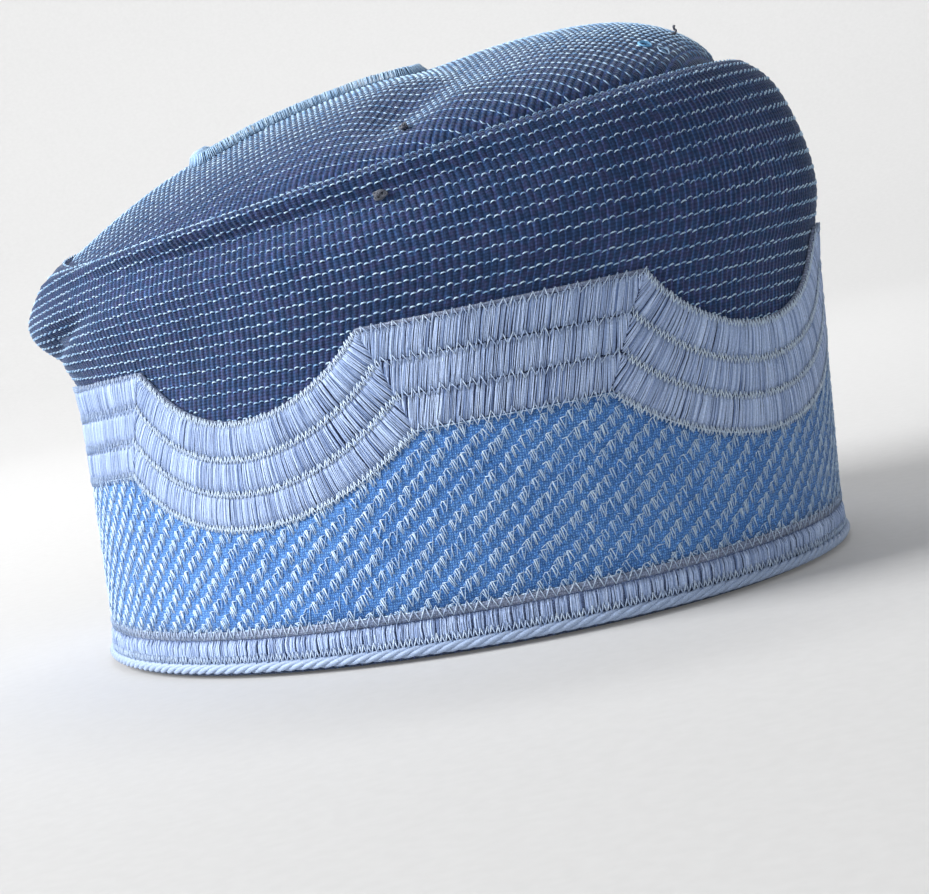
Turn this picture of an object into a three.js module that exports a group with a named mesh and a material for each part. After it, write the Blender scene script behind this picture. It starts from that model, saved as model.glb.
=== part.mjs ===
// A soft domed cap of ribbed strip-woven cloth with a wide embroidered band.
// Millimetres, +Z up. The hem stands on z = 0, the wearer faces -Y and the wearer's left is +X.
// The cap is one cloth wall and a domed top panel, with the embroidery worked round the outside of the wall.

import * as THREE from 'three';

// Driving dimensions
const CLOTH_LENGTH = 198; // outside the cloth at the hem, front to back
const CLOTH_WIDTH = 168; // outside the cloth at the hem, side to side
const CLOTH_THICK = 1.5;
const GAP = 0.3; // clearance between neighbouring pieces
const SATIN_THICK = 1.5; // raised satin stitching
const FIELD_THICK = 1.0; // the stitched blue field
const LEAN_HEADING = 135; // degrees from +X towards +Y: the way the crown leans and rises

// Facets round each piece
const CLOTH_SIDES = 72;
const STRIPE_SIDES = 96;
const CORD_SIDES = 6;

// The wall's sections from the hem up. path is measured along the cloth, scale multiplies the hem's oval,
// lean shifts the section along LEAN_HEADING and tilt is how far its edge rises on that side.
const WALL_ROWS = [
  { name: 'hem', path: 0, height: 0, scale: 1.0, lean: 0, tilt: 0 },
  { name: 'mid band', path: 58, height: 58, scale: 1.0085, lean: 4.4, tilt: 0 },
  { name: 'band top', path: 70, height: 70, scale: 1.013, lean: 5.2, tilt: 0.3 },
  { name: 'belly', path: 84, height: 83.5, scale: 1.043, lean: 6.0, tilt: 3.5 },
  { name: 'shoulder', path: 99, height: 98, scale: 1.03, lean: 3.0, tilt: 8.5 },
  { name: 'crest', path: 111, height: 107.3, scale: 0.985, lean: -0.5, tilt: 11 },
  { name: 'roll', path: 115.5, height: 107.3, scale: 0.945, lean: -0.5, tilt: 11 },
  { name: 'seam', path: 120, height: 103.8, scale: 0.92, lean: -0.5, tilt: 11 },
];
const SEAM_PATH = 120;

// Soft folds of the wall: a smooth swelling (out above 0) or crease (out below 0) centred at angle and path.
// slant is how many millimetres its line climbs for each degree of angle, and rise lifts the cloth there.
const WALL_FOLDS = [
  { name: 'front left overhang', angle: -54, spread: 36, path: 91, reach: 15, slant: 0, out: 7.2, rise: 0 },
  { name: 'front left crease', angle: -30, spread: 14, path: 87, reach: 4, slant: 0.5, out: -4, rise: 0 },
  { name: 'trough under the crest', angle: 20, spread: 32, path: 101.5, reach: 5, slant: 0, out: -2.4, rise: 0 },
  { name: 'back hollow', angle: 170, spread: 30, path: 88, reach: 12, slant: 0.1, out: -2.2, rise: 0 },
  { name: 'right hollow', angle: 245, spread: 26, path: 92, reach: 10, slant: -0.1, out: -2.6, rise: 0 },
  { name: 'front left slope', angle: -66, spread: 48, path: 120, reach: 5.2, slant: 0, out: 0, rise: 9.6 },
  { name: 'back right droop', angle: 140, spread: 38, path: 112, reach: 5.5, slant: 0, out: 0, rise: -2.4 },
];

// The paths at which the cloth wall has a ring of corners
const WALL_STATIONS = [0, 58, 66, 73, 77, 80, 83, 87, 92, 97, 101.5, 105.5, 109, 112, 115, 117.5, SEAM_PATH];

// The domed top panel, as shares of the way from its middle out to the seam
const DOME_HEIGHT = 25.5;
const DOME_FULLNESS = 0.46; // small for a dome that rises steeply from its seam
const SLOPE = { angle: -54, spread: 65, fullness: 0.62 }; // added at the front left, where the dome slopes gently
const TOP_STATIONS = [0, 0.28, 0.5, 0.68, 0.82, 0.92, 0.975, 1];

// Soft dents of the top panel, in plan about the cap's axis: heading turns the length from +X.
const TOP_FOLDS = [
  { name: 'tacked dimple', x: 40, y: 50, length: 16, width: 9, heading: 15, out: -4.5 },
  { name: 'long valley', x: 12, y: 44, length: 34, width: 10, heading: 60, out: -2.4 },
  { name: 'front left fullness', x: 46, y: -50, length: 42, width: 22, heading: 45, out: 0.7 },
  { name: 'back right fullness', x: -46, y: 52, length: 34, width: 34, heading: 0, out: 3.5 },
];

// The embroidered band, as paths up the wall
const CORD_RADIUS = 1.3;
const CORD_PATH = 2.0;
const STRIP_FOOT = 3.6;
const STRIP_TOP = 9.8;
const PLATEAU = 73.5; // top edge of the uppermost stripe between two scoops
const STRIPE_WIDTH = 7.9;
const STRIPE_NAMES = ['stripe_upper', 'stripe_middle', 'stripe_lower'];

// The scoops: round dips of the stripes towards the hem, each centred at an angle round the wall
const SCOOP_RADIUS = 41;
const SCOOP_DEPTH = 16.3;
const SCOOPS = [{ angle: 10 }, { angle: 91.5 }, { angle: 185 }, { angle: 278 }];

// The stripes sag a little towards the hem at the front left
const SAG = { angle: -50, spread: 40, drop: 4.2 };

// The satin diamond on the top panel
const DIAMOND_SIDE = 57;
const DIAMOND_WIDTH = 5;
const DIAMOND_ROUNDING = 5;
const DIAMOND_CENTRE = { x: 0, y: -24 };
const DIAMOND_LIFT = 0.4; // off the top panel
const DIAMOND_STEPS = 6; // along each straight side
const CORNER_STEPS = 4; // round each corner

const COLOURS = { navy: 0x2c3559, blue: 0x4f83c8, lavender: 0x9aaad4, pale: 0xb4c8ea };

const RADIANS = Math.PI / 180;
const NEARLY = 0.02; // step for the slopes of a surface

// A smooth value of one named column between the rows of a table
function columnAt(rows, column, path) {
  let i = 0;
  while (i < rows.length - 2 && path > rows[i + 1].path) i += 1;
  const slope = (k) => {
    const a = rows[Math.max(k - 1, 0)];
    const b = rows[Math.min(k + 1, rows.length - 1)];
    return (b[column] - a[column]) / (b.path - a.path);
  };
  const span = rows[i + 1].path - rows[i].path;
  const t = (path - rows[i].path) / span;
  const start = (1 + 2 * t) * (1 - t) ** 2 * rows[i][column];
  const end = t * t * (3 - 2 * t) * rows[i + 1][column];
  return start + end + span * (t * (1 - t) ** 2 * slope(i) - t * t * (1 - t) * slope(i + 1));
}

// The shortest turn from one angle to another, in degrees
function turn(angle, from) {
  return ((((angle - from + 180) % 360) + 360) % 360) - 180;
}

function bell(distance, reach) {
  return Math.exp(-((distance / reach) ** 2));
}

// The outside of the cloth wall at an angle round the cap and a path up from the hem
function wallPoint(angle, path) {
  const a = angle * RADIANS;
  const heading = LEAN_HEADING * RADIANS;
  const scale = columnAt(WALL_ROWS, 'scale', path);
  const lean = columnAt(WALL_ROWS, 'lean', path);
  let rise = columnAt(WALL_ROWS, 'height', path) + columnAt(WALL_ROWS, 'tilt', path) * Math.cos(a - heading);
  let out = 0;
  for (const fold of WALL_FOLDS) {
    const away = turn(angle, fold.angle);
    const share = bell(away, fold.spread) * bell(path - fold.path - fold.slant * away, fold.reach);
    out += fold.out * share;
    rise += fold.rise * share;
  }
  const x = (CLOTH_WIDTH / 2) * scale + out;
  const y = (CLOTH_LENGTH / 2) * scale + out;
  return new THREE.Vector3(
    x * Math.cos(a) + lean * Math.cos(heading),
    y * Math.sin(a) + lean * Math.sin(heading),
    rise,
  );
}

function wallNormal(angle, path) {
  const round = wallPoint(angle + NEARLY, path).sub(wallPoint(angle - NEARLY, path));
  const up = wallPoint(angle, path + NEARLY).sub(wallPoint(angle, path - NEARLY));
  return round.cross(up).normalize();
}

// A point lifted off the outside of the wall, or sunk into it where lift is below 0
function offWall(angle, path, lift) {
  return wallPoint(angle, path).addScaledVector(wallNormal(angle, path), lift);
}

// The inside of the cloth wall. The hem's underside stays level and the seam's edge stays upright.
function wallInside(angle, path) {
  const outside = wallPoint(angle, path);
  if (path === SEAM_PATH) return outside.setZ(outside.z - CLOTH_THICK);
  const normal = wallNormal(angle, path);
  if (path === 0) normal.setZ(0).normalize();
  return outside.addScaledVector(normal, -CLOTH_THICK);
}

// The middle of the seam's oval, level with it
function topCentre() {
  const front = wallPoint(-90, SEAM_PATH);
  const back = wallPoint(90, SEAM_PATH);
  const height = WALL_ROWS.at(-1).height;
  return new THREE.Vector3((front.x + back.x) / 2, (front.y + back.y) / 2, height);
}

// The outside of the top panel at an angle and a share of the way out to its edge
function topPoint(angle, share) {
  const centre = topCentre();
  const edge = wallPoint(angle, SEAM_PATH).sub(centre);
  const inset = 1 - GAP / Math.hypot(edge.x, edge.y);
  const point = edge.multiplyScalar(share * inset).add(centre);
  const fullness = DOME_FULLNESS + SLOPE.fullness * bell(turn(angle, SLOPE.angle), SLOPE.spread);
  let out = DOME_HEIGHT * Math.max(0, 1 - share * share) ** fullness;
  for (const fold of TOP_FOLDS) {
    const h = fold.heading * RADIANS;
    const along = (point.x - fold.x) * Math.cos(h) + (point.y - fold.y) * Math.sin(h);
    const across = (point.y - fold.y) * Math.cos(h) - (point.x - fold.x) * Math.sin(h);
    out += fold.out * bell(along, fold.length) * bell(across, fold.width) * (1 - share ** 8);
  }
  return point.setZ(point.z + out);
}

function topNormal(angle, share) {
  const away = Math.max(share, NEARLY);
  const outward = topPoint(angle, Math.min(away + NEARLY / 2, 1)).sub(topPoint(angle, away - NEARLY / 2));
  const round = topPoint(angle + 1, away).sub(topPoint(angle - 1, away));
  return outward.cross(round).normalize();
}

// A point lifted off the top panel, or sunk into it. At the seam it moves straight up or down.
function offTop(angle, share, lift) {
  if (share === 0) return topPoint(0, 0).setZ(topPoint(0, 0).z + lift);
  const normal = share === 1 ? new THREE.Vector3(0, 0, 1) : topNormal(angle, share);
  return topPoint(angle, share).addScaledVector(normal, lift);
}

// Distance round the hem's oval from one angle to another, signed
function arcBetween(from, to) {
  const steps = 24;
  const step = (turn(to, from) * RADIANS) / steps;
  let sum = 0;
  for (let i = 0; i < steps; i += 1) {
    const a = from * RADIANS + (i + 0.5) * step;
    sum += Math.hypot((CLOTH_WIDTH / 2) * Math.sin(a), (CLOTH_LENGTH / 2) * Math.cos(a)) * step;
  }
  return sum;
}

// The path of a line that runs a set distance below the uppermost stripe's top edge.
// It is level between scoops, and every line of one scoop is an arc about the same centre.
function wavePath(angle, below) {
  let path = PLATEAU - below - SAG.drop * bell(turn(angle, SAG.angle), SAG.spread);
  const radius = SCOOP_RADIUS + below;
  const centrePath = PLATEAU - SCOOP_DEPTH + SCOOP_RADIUS;
  for (const scoop of SCOOPS) {
    const away = arcBetween(scoop.angle, angle);
    if (Math.abs(away) < radius) path = Math.min(path, centrePath - Math.sqrt(radius ** 2 - away ** 2));
  }
  return path;
}

// A closed body from rings of corners. Rings run anticlockwise seen from above, and the sequence of rings
// goes up the outside and down the inside. A ring with one corner is a pole; without poles the last ring
// joins the first.
function bodyFromRings(rings) {
  const corners = [];
  const triangles = [];
  const firstOf = rings.map((ring) => {
    const first = corners.length / 3;
    ring.forEach((p) => corners.push(p.x, p.y, p.z));
    return first;
  });
  const hasPoles = rings[0].length === 1;
  const bands = hasPoles ? rings.length - 1 : rings.length;
  for (let b = 0; b < bands; b += 1) {
    const low = rings[b];
    const next = (b + 1) % rings.length;
    const high = rings[next];
    const sides = Math.max(low.length, high.length);
    for (let s = 0; s < sides; s += 1) {
      const t = (s + 1) % sides;
      const corner = (ring, first, side) => first + (ring.length === 1 ? 0 : side);
      const [a, c] = [corner(low, firstOf[b], s), corner(low, firstOf[b], t)];
      const [d, e] = [corner(high, firstOf[next], s), corner(high, firstOf[next], t)];
      if (low.length > 1) triangles.push(a, c, e);
      if (high.length > 1) triangles.push(a, e, d);
    }
  }
  const geometry = new THREE.BufferGeometry();
  geometry.setAttribute('position', new THREE.Float32BufferAttribute(corners, 3));
  geometry.setIndex(triangles);
  geometry.computeVertexNormals();
  return geometry;
}

function ringOf(sides, pointAt) {
  return Array.from({ length: sides }, (_, s) => pointAt((360 * s) / sides));
}

// A layer worked on the outside of the wall between two edges, each a path for every angle
function wallLayer(sides, footPath, topPath, thick) {
  const ring = (edge, lift) => ringOf(sides, (angle) => offWall(angle, edge(angle), lift));
  return bodyFromRings([
    ring(footPath, GAP + thick),
    ring(topPath, GAP + thick),
    ring(topPath, GAP),
    ring(footPath, GAP),
  ]);
}

function crownWall() {
  const outside = WALL_STATIONS.map((path) => ringOf(CLOTH_SIDES, (angle) => wallPoint(angle, path)));
  const inside = WALL_STATIONS.map((path) => ringOf(CLOTH_SIDES, (angle) => wallInside(angle, path)));
  return bodyFromRings([...outside, ...inside.reverse()]);
}

function crownTop() {
  const skin = (lift) =>
    TOP_STATIONS.map((share) =>
      share === 0 ? [offTop(0, 0, lift)] : ringOf(CLOTH_SIDES, (angle) => offTop(angle, share, lift)),
    );
  return bodyFromRings([...skin(-CLOTH_THICK), ...skin(0).reverse()]);
}

function bandField() {
  const foot = () => STRIP_TOP + GAP;
  const top = (angle) => wavePath(angle, STRIPE_NAMES.length * STRIPE_WIDTH) - GAP;
  return wallLayer(STRIPE_SIDES, foot, top, FIELD_THICK);
}

// One of the parallel satin stripes, counted down from the uppermost
function stripe(index) {
  const foot = (angle) => wavePath(angle, (index + 1) * STRIPE_WIDTH - GAP / 2);
  const top = (angle) => wavePath(angle, index * STRIPE_WIDTH + GAP / 2);
  return wallLayer(STRIPE_SIDES, foot, top, SATIN_THICK);
}

function hemStrip() {
  return wallLayer(CLOTH_SIDES, () => STRIP_FOOT, () => STRIP_TOP, SATIN_THICK);
}

// The round piping cord along the foot of the hem strip
function hemCord() {
  const rings = Array.from({ length: CORD_SIDES }, (_, k) => {
    const roll = ((k + 0.5) / CORD_SIDES) * 2 * Math.PI - Math.PI / 2;
    const lift = GAP + CORD_RADIUS * (1 + Math.cos(roll));
    const path = CORD_PATH + CORD_RADIUS * Math.sin(roll);
    return ringOf(CLOTH_SIDES, (angle) => offWall(angle, path, lift));
  });
  return bodyFromRings(rings);
}

// A square outline with rounded corners, its diagonals along X and Y, grown outward by a margin
function diamondOutline(margin) {
  const half = DIAMOND_SIDE / 2 - DIAMOND_ROUNDING;
  const points = [];
  for (let corner = 0; corner < 4; corner += 1) {
    const facing = (corner * 90 + 45) * RADIANS;
    const centre = new THREE.Vector2(half * Math.SQRT2 * Math.cos(facing), half * Math.SQRT2 * Math.sin(facing));
    const next = centre.clone().rotateAround(new THREE.Vector2(), Math.PI / 2);
    const arm = (turnBy) =>
      new THREE.Vector2(Math.cos(facing + turnBy), Math.sin(facing + turnBy)).multiplyScalar(
        DIAMOND_ROUNDING + margin,
      );
    for (let k = 0; k < CORNER_STEPS; k += 1) {
      points.push(centre.clone().add(arm(((k / CORNER_STEPS - 0.5) * Math.PI) / 2)));
    }
    for (let k = 0; k < DIAMOND_STEPS; k += 1) {
      points.push(centre.clone().lerp(next, k / DIAMOND_STEPS).add(arm(Math.PI / 4)));
    }
  }
  const turned = points.map((p) => p.rotateAround(new THREE.Vector2(), Math.PI / 4));
  return turned.map((p) => p.add(new THREE.Vector2(DIAMOND_CENTRE.x, DIAMOND_CENTRE.y)));
}

// A point above the top panel at a place in plan
function overTop(plan, lift) {
  const centre = topCentre();
  const away = new THREE.Vector2(plan.x - centre.x, plan.y - centre.y);
  const angle = Math.atan2(away.y / CLOTH_LENGTH, away.x / CLOTH_WIDTH) / RADIANS;
  const edge = wallPoint(angle, SEAM_PATH).sub(centre);
  return offTop(angle, away.length() / Math.hypot(edge.x, edge.y), lift);
}

function topMotif() {
  const ring = (margin, lift) => diamondOutline(margin).map((p) => overTop(p, lift));
  const half = DIAMOND_WIDTH / 2;
  return bodyFromRings([
    ring(half, DIAMOND_LIFT),
    ring(half, DIAMOND_LIFT + SATIN_THICK),
    ring(-half, DIAMOND_LIFT + SATIN_THICK),
    ring(-half, DIAMOND_LIFT),
  ]);
}

function piece(name, geometry, color, roughness) {
  const mesh = new THREE.Mesh(geometry, new THREE.MeshStandardMaterial({ color, roughness, metalness: 0 }));
  mesh.name = name;
  return mesh;
}

const crown = new THREE.Group();
crown.add(piece('crown_wall', crownWall(), COLOURS.navy, 0.9));
crown.add(piece('crown_top', crownTop(), COLOURS.navy, 0.9));
crown.add(piece('top_motif', topMotif(), COLOURS.pale, 0.5));

const band = new THREE.Group();
band.add(piece('band_field', bandField(), COLOURS.blue, 0.8));
STRIPE_NAMES.forEach((name, index) => band.add(piece(name, stripe(index), COLOURS.lavender, 0.5)));
band.add(piece('hem_strip', hemStrip(), COLOURS.lavender, 0.5));
band.add(piece('hem_cord', hemCord(), COLOURS.pale, 0.6));

// The origin is under the middle of the cap's box, on the surface that it stands on
const cap = new THREE.Group();
cap.add(crown, band);
const box = new THREE.Box3().setFromObject(cap);
cap.position.set(-(box.min.x + box.max.x) / 2, -(box.min.y + box.max.y) / 2, -box.min.z);

export default cap;
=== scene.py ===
import math

import bpy
import numpy as np
from mathutils import Matrix, Vector


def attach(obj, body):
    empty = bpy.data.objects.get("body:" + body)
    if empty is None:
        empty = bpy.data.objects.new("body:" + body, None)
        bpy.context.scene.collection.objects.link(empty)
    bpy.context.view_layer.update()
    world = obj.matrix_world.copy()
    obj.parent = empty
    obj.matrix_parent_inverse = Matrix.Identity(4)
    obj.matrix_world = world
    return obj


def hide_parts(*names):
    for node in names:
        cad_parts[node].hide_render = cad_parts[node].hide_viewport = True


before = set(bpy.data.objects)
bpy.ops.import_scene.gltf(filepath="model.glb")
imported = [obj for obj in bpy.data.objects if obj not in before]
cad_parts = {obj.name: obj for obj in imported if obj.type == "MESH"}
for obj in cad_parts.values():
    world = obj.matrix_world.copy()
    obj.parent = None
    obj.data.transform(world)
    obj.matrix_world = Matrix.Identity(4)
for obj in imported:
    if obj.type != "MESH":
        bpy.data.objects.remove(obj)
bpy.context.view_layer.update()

rng = np.random.default_rng(20)

# The cap's surfaces, as in the CAD source, apart from two small crest folds and a slight waviness
CLOTH_LENGTH, CLOTH_WIDTH, CLOTH_THICK, GAP = 198.0, 168.0, 1.5, 0.3
LEAN_HEADING = math.radians(135)
SEAM_PATH = 120.0
WALL_ROWS = np.array([
    # path, height, scale, lean, tilt
    (0.0, 0.0, 1.0, 0.0, 0.0),
    (58.0, 58.0, 1.0085, 4.4, 0.0),
    (70.0, 70.0, 1.013, 5.2, 0.3),
    (84.0, 83.5, 1.043, 6.0, 3.5),
    (99.0, 98.0, 1.03, 3.0, 8.5),
    (111.0, 107.3, 0.985, -0.5, 11.0),
    (115.5, 107.3, 0.945, -0.5, 11.0),
    (120.0, 103.8, 0.92, -0.5, 11.0),
])
WALL_FOLDS = [
    # angle, spread, path, reach, slant, out, rise
    (-54, 36, 91, 15, 0, 7.2, 0),
    (-30, 14, 87, 4, 0.5, -4, 0),
    (20, 32, 101.5, 5, 0, -2.4, 0),
    (170, 30, 88, 12, 0.1, -2.2, 0),
    (245, 26, 92, 10, -0.1, -2.6, 0),
    (-66, 48, 120, 5.2, 0, 0, 9.6),
    (140, 38, 112, 5.5, 0, 0, -2.4),
    # the two folds that are here alone
    (14, 34, 105, 2.8, -0.03, -1.6, 0),
    (14, 34, 111.5, 3, 0, 0.9, 0.6),
]
WAVES = [
    # size, count round the cap, turn for each millimetre of path, start
    (0.35, 5, 0.06, 0.0),
    (0.25, 9, -0.11, 1.0),
]
WAVES_FOOT, WAVES_TOP = 62, 118
DOME_HEIGHT, DOME_FULLNESS = 25.5, 0.46
SLOPE_ANGLE, SLOPE_SPREAD, SLOPE_FULLNESS = -54.0, 65.0, 0.62
TOP_FOLDS = [
    # x, y, length, width, heading, out
    (40, 50, 16, 9, 15, -4.5),
    (12, 44, 34, 10, 60, -2.4),
    (46, -50, 42, 22, 45, 0.7),
    (-46, 52, 34, 34, 0, 3.5),
]
PLATEAU, STRIPE_WIDTH = 73.5, 7.9
SCOOP_RADIUS, SCOOP_DEPTH, SCOOP_ANGLES = 41.0, 16.3, (10.0, 91.5, 185.0, 278.0)
SCOOP_CENTRE = PLATEAU - SCOOP_DEPTH + SCOOP_RADIUS
SAG_ANGLE, SAG_SPREAD, SAG_DROP = -50.0, 40.0, 4.2
STRIP_TOP, CORD_PATH, CORD_RADIUS = 9.8, 2.0, 1.3
DIAMOND_SIDE, DIAMOND_WIDTH, DIAMOND_ROUNDING, DIAMOND_CENTRE = 57.0, 5.0, 5.0, (0.0, -24.0)

# The weave and the stitches
RIB, RIB_SLANT, RIB_FOOT = 1.57, 0.19, 40
RIB_STEPS = 4
RIB_SHAPE = [-0.38, 0.02, 0.18, 0.02, -0.24, 0.02, 0.18, 0.02]
LINE_SPACING, LINE_SAG, FIRST_LINE, LAST_LINE = 3.05, 8.0, 52.0, 117.5
LINE_PINCH, LINE_SWELL, RELIEF_SPREAD = -0.10, 0.07, 0.025
RELIEF_LOW, RELIEF_RANGE, PLAIN_RELIEF = -0.45, 0.7, 0.6
FRONT_LEFT, RAISED_SEAM = -54, 34
TOP_TURN = math.radians(20)
DASH_HALF = 0.68
DASH = np.array([
    # step along, arch across, lift, half width, half height
    (-1.0, -0.22, -0.06, 0.12, 0.1),
    (-0.4, 0.05, 0.2, 0.19, 0.18),
    (0.4, 0.13, 0.2, 0.19, 0.18),
    (1.0, -0.03, -0.06, 0.12, 0.1),
])
ARC_POINTS, LEVEL_POINTS = 48, 40
SATIN_SPACING, SATIN_SHEAR, SATIN_UNEVEN = 0.29, 1.5, 0.25
SATIN_LIFT, SATIN_RISE, STRIPE_PAD = 1.12, 0.4, 0.85
EDGE_OUT, EDGE_IN, EDGE_PITCH, EDGE_ARC_PITCH = 1.1, 1.4, 2.15, 1.05
FIELD_ROWS, TOOTH, FIELD_PAD, FIELD_LIFT = 94, np.array([1.7, 1.47]), 0.8, 1.05
FIELD_KEPT, SHORTEST_STROKE = 0.88, 0.6
STITCH = [
    # start arc, start path, end arc, end path, thickness, tint
    (0.0, 0.0, 0.85, -2.5, 0.18, 0.85),
    (0.42, 0.1, 1.22, -2.1, 0.16, 0.65),
    (-0.3, -0.55, 0.42, -2.65, 0.13, 0.45),
    (0.85, -2.5, 1.4, 0.9, 0.12, 0.4),
    (0.0, 0.0, -0.6, -0.85, 0.14, 0.7),
    (0.0, 0.05, 1.4, 0.2, 0.12, 0.6),
]
HEM_SPACING, HEM_BUNDLE, HEM_SATIN_TOP, HEM_SATIN_FOOT = 0.36, 2.7, 8.15, 3.7
CORD_PITCH, CORD_STEPS, STRANDS, STRAND_RADIUS = 13, 16, 4, 0.66
DIAMOND_POINTS, DIAMOND_THREADS = 160, 640

hem_ring = np.array([v.co[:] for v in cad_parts["crown_wall"].data.vertices if v.co.z < 1e-5])
RIM = 1000 * np.array([*((hem_ring.min(0) + hem_ring.max(0)) / 2)[:2], 0.0])


def column(index, path):
    """A smooth value of one column of WALL_ROWS at each path."""
    p, v = WALL_ROWS[:, 0], WALL_ROWS[:, index]
    n = len(p)
    low, high = np.maximum(np.arange(n) - 1, 0), np.minimum(np.arange(n) + 1, n - 1)
    slope = (v[high] - v[low]) / (p[high] - p[low])
    i = np.clip(np.searchsorted(p, path) - 1, 0, n - 2)
    h = p[i + 1] - p[i]
    t = (path - p[i]) / h
    ends = (1 + 2 * t) * (1 - t) ** 2 * v[i] + t * t * (3 - 2 * t) * v[i + 1]
    return ends + h * (t * (1 - t) ** 2 * slope[i] - t * t * (1 - t) * slope[i + 1])


def turn(angle, start):
    return (angle - start + 180) % 360 - 180


def bell(distance, reach):
    return np.exp(-((distance / reach) ** 2))


def both(a, b):
    return np.broadcast_arrays(np.asarray(a, float), np.asarray(b, float))


def wall_point(angle, path):
    angle, path = both(angle, path)
    a = np.radians(angle)
    scale, lean = column(2, path), column(3, path)
    rise = column(1, path) + column(4, path) * np.cos(a - LEAN_HEADING)
    out = np.zeros_like(a)
    for at, spread, level, reach, slant, depth, lift in WALL_FOLDS:
        away = turn(angle, at)
        share = bell(away, spread) * bell(path - level - slant * away, reach)
        out = out + depth * share
        rise = rise + lift * share
    fade = np.clip((path - WAVES_FOOT) / 20, 0, 1) * np.clip((WAVES_TOP - path) / 10, 0, 1)
    waves = (size * np.sin(count * a + twist * path + start) for size, count, twist, start in WAVES)
    out = out + fade * sum(waves)
    x = (CLOTH_WIDTH / 2 * scale + out) * np.cos(a) + lean * math.cos(LEAN_HEADING)
    y = (CLOTH_LENGTH / 2 * scale + out) * np.sin(a) + lean * math.sin(LEAN_HEADING)
    return np.stack([x, y, rise], -1)


def unit(v):
    return v / np.maximum(np.linalg.norm(v, axis=-1, keepdims=True), 1e-12)


def wall_normal(angle, path, e=0.05):
    angle, path = both(angle, path)
    round_it = wall_point(angle + e, path) - wall_point(angle - e, path)
    up = wall_point(angle, path + e) - wall_point(angle, path - e)
    return unit(np.cross(round_it, up))


seam_front, seam_back = wall_point(-90.0, SEAM_PATH), wall_point(90.0, SEAM_PATH)
TOP_CENTRE = np.array([*((seam_front + seam_back) / 2)[:2], WALL_ROWS[-1, 1]])
TOP_HALF = np.array([CLOTH_WIDTH / 2, CLOTH_LENGTH / 2]) * WALL_ROWS[-1, 2]


def top_point(x, y):
    """The top panel at a place on it, measured across its cloth from its middle."""
    x, y = both(x, y)
    share = np.hypot(x / TOP_HALF[0], y / TOP_HALF[1])
    angle = np.degrees(np.arctan2(y / TOP_HALF[1], x / TOP_HALF[0]))
    edge = wall_point(angle, SEAM_PATH) - TOP_CENTRE
    inset = 1 - GAP / np.hypot(edge[..., 0], edge[..., 1])
    point = edge * (share * inset)[..., None] + TOP_CENTRE
    fullness = DOME_FULLNESS + SLOPE_FULLNESS * bell(turn(angle, SLOPE_ANGLE), SLOPE_SPREAD)
    out = DOME_HEIGHT * np.maximum(0, 1 - share**2) ** fullness
    for fx, fy, length, width, heading, depth in TOP_FOLDS:
        h = math.radians(heading)
        dx, dy = point[..., 0] - fx, point[..., 1] - fy
        along, across = dx * math.cos(h) + dy * math.sin(h), dy * math.cos(h) - dx * math.sin(h)
        out = out + depth * bell(along, length) * bell(across, width) * (1 - np.minimum(share, 1) ** 8)
    point[..., 2] += out
    return point


def top_normal(x, y, e=0.15):
    x, y = both(x, y)
    shrink = np.minimum(1, 0.985 / np.maximum(np.hypot(x / TOP_HALF[0], y / TOP_HALF[1]), 1e-9))
    x, y = x * shrink, y * shrink
    across = top_point(x + e, y) - top_point(x - e, y)
    along = top_point(x, y + e) - top_point(x, y - e)
    return unit(np.cross(across, along))


# Distance round the hem against angle
fine_angle = np.linspace(-180, 540, 7201)
fine_turn = np.radians(fine_angle)
fine_step = np.hypot(CLOTH_WIDTH / 2 * np.sin(fine_turn), CLOTH_LENGTH / 2 * np.cos(fine_turn))
fine_arc = np.concatenate([[0], np.cumsum((fine_step[1:] + fine_step[:-1]) / 2 * np.radians(0.1))])
fine_arc -= np.interp(0, fine_angle, fine_arc)
AROUND = np.interp(360, fine_angle, fine_arc)


def arc_of(angle):
    return np.interp(angle, fine_angle, fine_arc)


def angle_of(arc):
    return np.interp(arc, fine_arc, fine_angle)


def on_wall(arc, path, lift=0.0):
    """Points off the wall's outside, and the way out there."""
    arc, path = both(np.asarray(arc, float) % AROUND, path)
    angle = angle_of(arc)
    normal = wall_normal(angle, path)
    return wall_point(angle, path) + normal * np.asarray(lift)[..., None], normal


def on_top(x, y, lift=0.0):
    normal = top_normal(x, y)
    return top_point(x, y) + normal * np.asarray(lift)[..., None], normal


# The wavy edges of the stripes, as (arc, path)
SCOOP_ARCS = arc_of(np.array(SCOOP_ANGLES))


def level(arc, below):
    """The path of an edge between two scoops."""
    return PLATEAU - below - SAG_DROP * bell(turn(angle_of(arc), SAG_ANGLE), SAG_SPREAD)


def scoop_ends(below):
    """How far each scoop reaches to its two sides before it meets the level edge."""
    radius = SCOOP_RADIUS + below
    ends = []
    for m in SCOOP_ARCS:
        pair = []
        for side in (-1, 1):
            h = 30.0
            for _ in range(12):
                h = math.sqrt(max(1.0, radius**2 - (SCOOP_CENTRE - level(m + side * h, below)) ** 2))
            pair.append(h)
        ends.append(pair)
    return ends


def wave_edge(below):
    """The line a set distance below the stripes' top edge, the same count of points for each distance."""
    radius, ends = SCOOP_RADIUS + below, scoop_ends(below)
    points = []
    for i, m in enumerate(SCOOP_ARCS):
        left, right = ends[i]
        turns = np.linspace(-math.asin(left / radius), math.asin(right / radius), ARC_POINTS, endpoint=False)
        points.append(np.stack([m + radius * np.sin(turns), SCOOP_CENTRE - radius * np.cos(turns)], -1))
        following = SCOOP_ARCS[(i + 1) % 4] + (AROUND if i == 3 else 0)
        arcs = np.linspace(m + right, following - ends[(i + 1) % 4][0], LEVEL_POINTS, endpoint=False)
        points.append(np.stack([arcs, level(arcs, below)], -1))
    return np.concatenate(points)


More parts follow.
